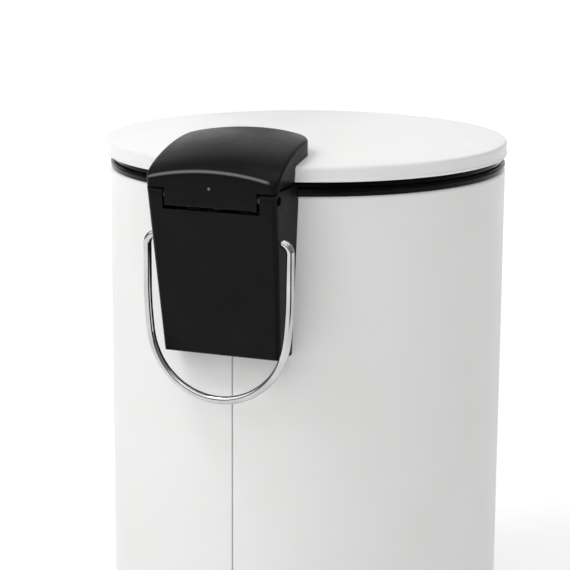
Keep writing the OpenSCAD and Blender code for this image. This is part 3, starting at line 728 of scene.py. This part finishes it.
def ear_room():
    """Side outline of the room under the cap, which leaves a thin lip down the rear, round the ears."""
    front = CAP_FRONT - PAST
    turn = degrees(acos((CAP_LIP_Y - PIN_Y) / EAR_ROOM_R))
    ear = arc((PIN_Y, PIN_Z), EAR_ROOM_R, 30, turn, 12)
    return [(front, CAP_LIP_LOW - 1)] + ear + [(CAP_LIP_Y, CAP_LOW), (front, CAP_LOW)]


def cap():
    """The hinge cap: a hollow block that fits the lid, with the tongue between the housing's ears."""
    side = CAP_HALF + PAST
    piece = cap_block("cap_shell", 0, 0, CAP_LIP_LOW, CAP_EDGE)
    combine(piece, prism("ear_room", ear_room(), "x", -side, side))
    combine(piece, cap_block("hollow", CAP_T, CAP_T, CAP_LOW - 1, 1.0, HUB_Y + CAP_T))
    combine(piece, prism("tongue", tongue_side(), "x", -TONGUE_HALF, TONGUE_HALF), "UNION")
    combine(piece, under_lid("lid_room"))
    bore = arc((PIN_Y, PIN_Z), PIN_BORE_R, 0, 360, 32)[:-1]
    combine(piece, prism("pin_bore", bore, "x", -side, side))
    smooth(piece)
    stands_for(piece, "lid_assembly", CAP_PLASTIC, "black_moulded_plastic", "lid_hinge_cap")


# --- handles ---

def bail():
    """Carrying handle: two pivots, bends, legs, and side arcs that run into the arc at the foot."""
    rise = BAIL_LOOP_H
    side_r = (BAIL_HALF ** 2 + rise ** 2 - 2 * rise * BAIL_FOOT_R) / (2 * (BAIL_HALF - BAIL_FOOT_R))
    side_x = BAIL_HALF - side_r
    curve_z = -BAIL_BEND_R - BAIL_LEG
    foot_z = curve_z - rise + BAIL_FOOT_R
    join = degrees(atan2(curve_z - foot_z, -side_x))
    half = [(BAIL_END, 0)] + arc((BAIL_HALF - BAIL_BEND_R, -BAIL_BEND_R), BAIL_BEND_R, 90, 0, 12)
    half += between(half[-1], (BAIL_HALF, curve_z), 4)
    half += arc((side_x, curve_z), side_r, 0, -join, 24)
    half += arc((0, foot_z), BAIL_FOOT_R, -join, -90, 18)[1:]
    path = [(x, BAIL_Y, BAIL_Z + z) for x, z in half + mirrored(half)]
    piece = tube("wire_handle", path, BAIL_WIRE_R, 32)
    stands_for(piece, "carrying_handle", CHROME, "chromed_wire", "bail_handle")


def bucket_bail():
    """The bucket's wire handle, folded down on its rim."""
    top = BUCKET_RIM + BUCKET_FLANGE_T + BUCKET_WIRE_R
    pivot = SHELL_TOP - 6
    leg = BUCKET_R - 5.2
    ring = [(x, y, top) for x, y in arc((0, 0), BUCKET_BOW_R, -4, -176, 90)]
    end = [(BUCKET_R + 0.2, 0, pivot), (leg, 0, pivot), (leg, 0, top), (BUCKET_BOW_R, 0, top)]
    right = softened(end + ring[:1], BUCKET_BEND_R)[:-1]
    left = [Vector((-p.x, p.y, p.z)) for p in reversed(right)]
    piece = tube("bucket_wire_handle", right + ring + left, BUCKET_WIRE_R, 20)
    stands_for(piece, "bin", CHROME, "chromed_wire", "bucket_handle")


# --- base, bucket, and the CAD nodes that stay ---

def base():
    """Foot ring: a groove for the shell's lower edge above, and one for the grip ring below."""
    outer = SHELL_R + 0.05
    inner = SHELL_R - SHELL_T - 0.05
    grip_inner, grip_outer = GRIP_R
    outline = rounded([
        (BASE_INNER_R, BASE_LOW, 0.5), (grip_inner, BASE_LOW, 0), (grip_inner, GRIP_TOP, 0),
        (grip_outer, GRIP_TOP, 0), (grip_outer, BASE_LOW, 0), (BASE_R, BASE_LOW, 1.2),
        (BASE_R, BASE_TOP, 0.8), (outer, BASE_TOP, 0.25), (outer, BASE_FLOOR, 0), (inner, BASE_FLOOR, 0),
        (inner, BASE_WALL_TOP, 0.4), (BASE_WALL_R, BASE_WALL_TOP, 0.4), (BASE_WALL_R, BASE_FLOOR, 0),
        (BASE_INNER_R, BASE_FLOOR, 0.5)])
    piece = turned("foot_ring", outline)
    slot = opening(SLOT_HALF, SLOT_LOW, BASE_TOP + PAST)
    combine(piece, prism("slot", slot, "y", -BASE_R - PAST, -SHELL_R + PAST))
    smooth(piece)
    stands_for(piece, "bin", BASE_PLASTIC, "black_moulded_plastic", "base_ring")


def grip():
    """Rubber ring that the bin stands on, with a shallow groove between its two edges."""
    inner, outer = GRIP_R
    outline = rounded([
        (inner, GRIP_TOP, 0), (inner, 0, 0.8), (inner + 1.2, 0, 0.3), (inner + 1.6, 0.4, 0.2),
        (outer - 1.6, 0.4, 0.2), (outer - 1.2, 0, 0.3), (outer, 0, 0.8), (outer, GRIP_TOP, 0)])
    stands_for(turned("grip_band", outline), "bin", RUBBER, "black_rubber", "grip_ring")


def bucket():
    """Tapered bucket with a flange that rests on the rim ring."""
    rim = BUCKET_RIM
    top = rim + BUCKET_FLANGE_T
    floor_top = BUCKET_Z + BUCKET_FLOOR_T
    outside = [(0, BUCKET_Z, 0), (BUCKET_FOOT_R, BUCKET_Z, 2.4), (BUCKET_R, rim, 0.8)]
    flange = [(BUCKET_FLANGE_R, rim, 0.6), (BUCKET_FLANGE_R, top, 0.9), (BUCKET_R - BUCKET_T, top, 1.0)]
    inside = [(BUCKET_FOOT_R - BUCKET_T, floor_top, 3), (0, floor_top, 0)]
    piece = turned("waste_bucket", rounded(outside + flange + inside, 8))
    stands_for(piece, "bin", BUCKET, "grey_bucket_plastic", "inner_bucket")


def keep(name, material, width=0.0):
    """A CAD node that stays: it takes its material, and its sharp edges are eased to that width."""
    piece = frame["nodes"][name]
    piece.material_slots[0].material = material
    if width:
        ease(piece, width)


shell()
rim()
lid()
cap()
bail()
bucket_bail()
base()
grip()
bucket()
keep("hinge_housing", HOUSING_PLASTIC, 0.6)
keep("pedal_tread", BASE_PLASTIC, 0.5)
keep("rod_guide", BASE_PLASTIC, 0.3)
keep("lid_buffers", RUBBER)
for name in ("base_plate", "pedal_bracket", "pedal_lever", "backing_plate", "lid_clamp_plate"):
    keep(name, ZINC, 0.25)
for name in ("base_screws", "bracket_rivets", "pedal_pivot_pin", "tread_rivets", "push_rod", "rod_clip",
             "housing_screws", "hinge_pin", "crank_pin", "lid_screws"):
    keep(name, ZINC)


# --- floor, light and camera, in metres and degrees ---

def floor():
    """Pale floor that glows more away from the bin, so that it fades to white."""
    bm = bmesh.new()
    bmesh.ops.create_grid(bm, x_segments=8, y_segments=8, size=9000)
    piece = solid("floor", bm)
    f = Finish("pale_floor", Roughness=0.9, Specular_IOR_Level=0.1)
    f.set("Base Color", f.blend(f.span(f.noise(60, 3), 0, 1), (0.86, 0.86, 0.86), (0.88, 0.88, 0.88)))
    f.shader.inputs["Emission Color"].default_value = (1, 1, 1, 1)
    f.set("Emission Strength", f.span(f.length(f.space), 0.28, 0.85, 0.9, 2.4))
    piece.data.materials.append(f.material)


def softbox(name, azimuth, elevation, power, size=1.2, distance=1.8):
    """Square area light that faces the bin. Azimuth 0 is the +Y side, and 90 the -X side."""
    aim = Vector((0, 0, 0.15))
    turn, rise = radians(azimuth), radians(elevation)
    away = Vector((-sin(turn) * cos(rise), cos(turn) * cos(rise), sin(rise)))
    light = bpy.data.lights.new(name, "AREA")
    light.size = size
    light.energy = power
    lamp = bpy.data.objects.new(name, light)
    lamp.location = aim + away * distance
    lamp.rotation_euler = away.to_track_quat("Z", "Y").to_euler()
    bpy.context.scene.collection.objects.link(lamp)


def black_card(name, azimuth, distance, width, height):
    """Upright black card that only reflections see, for the dark streaks in the chrome."""
    bm = bmesh.new()
    bmesh.ops.create_grid(bm, x_segments=1, y_segments=1, size=0.5 / MM)
    bmesh.ops.scale(bm, vec=(width, height, 1), verts=bm.verts)
    piece = solid(name, bm)
    turn = radians(azimuth)
    piece.location = (-distance * sin(turn), distance * cos(turn), height / 2)
    piece.rotation_euler = (radians(90), 0, turn)
    f = Finish(name, Roughness=1, Specular_IOR_Level=0)
    cloud = f.span(f.noise(30, 3), 0, 1)
    f.set("Base Color", f.blend(cloud, (0.004, 0.004, 0.004), (0.008, 0.008, 0.008)))
    piece.data.materials.append(f.material)
    piece.visible_camera = False
    piece.visible_diffuse = False
    piece.visible_shadow = False


def world(strength):
    """Dim, even light from all round."""
    sky = bpy.data.worlds.new("studio")
    sky.use_nodes = True
    sky.node_tree.nodes["Background"].inputs["Color"].default_value = (1, 1, 1, 1)
    sky.node_tree.nodes["Background"].inputs["Strength"].default_value = strength
    bpy.context.scene.world = sky


def camera():
    """Looks down on the rear of the bin, from the rear and a little to the -X side."""
    away, height = 1.0325, 0.4231
    azimuth, heading, tilt, roll = 21.05, 201.69, 77.63, 0.30
    lens = bpy.data.cameras.new("camera")
    lens.sensor_width = 36
    lens.lens = 126.26
    lens.clip_end = 60
    place = Matrix.Translation((-away * sin(radians(azimuth)), away * cos(radians(azimuth)), height))
    turn = Matrix.Rotation(radians(heading), 4, "Z") @ Matrix.Rotation(radians(tilt), 4, "X")
    eye = bpy.data.objects.new("camera", lens)
    eye.matrix_world = place @ turn @ Matrix.Rotation(radians(roll), 4, "Z")
    bpy.context.scene.collection.objects.link(eye)
    bpy.context.scene.camera = eye


bpy.context.scene.view_settings.view_transform = "Standard"
floor()
world(0.22)
softbox("left_light", 315, 40, 7)
softbox("right_light", 90, 68, 5.5)
softbox("rear_light", 0, 40, 5.5)
softbox("front_light", 180, 40, 4)
softbox("low_front_light", 180, 12, 3.3)
softbox("front_left_light", 225, 40, 4)
softbox("low_front_left_light", 225, 12, 3.7)
softbox("edge_light", 318, 57, 5, size=0.4)
softbox("top_light", 0, 88, 2, size=0.5, distance=1.6)
black_card("black_card", azimuth=38, distance=0.75, width=0.42, height=0.3)
camera()
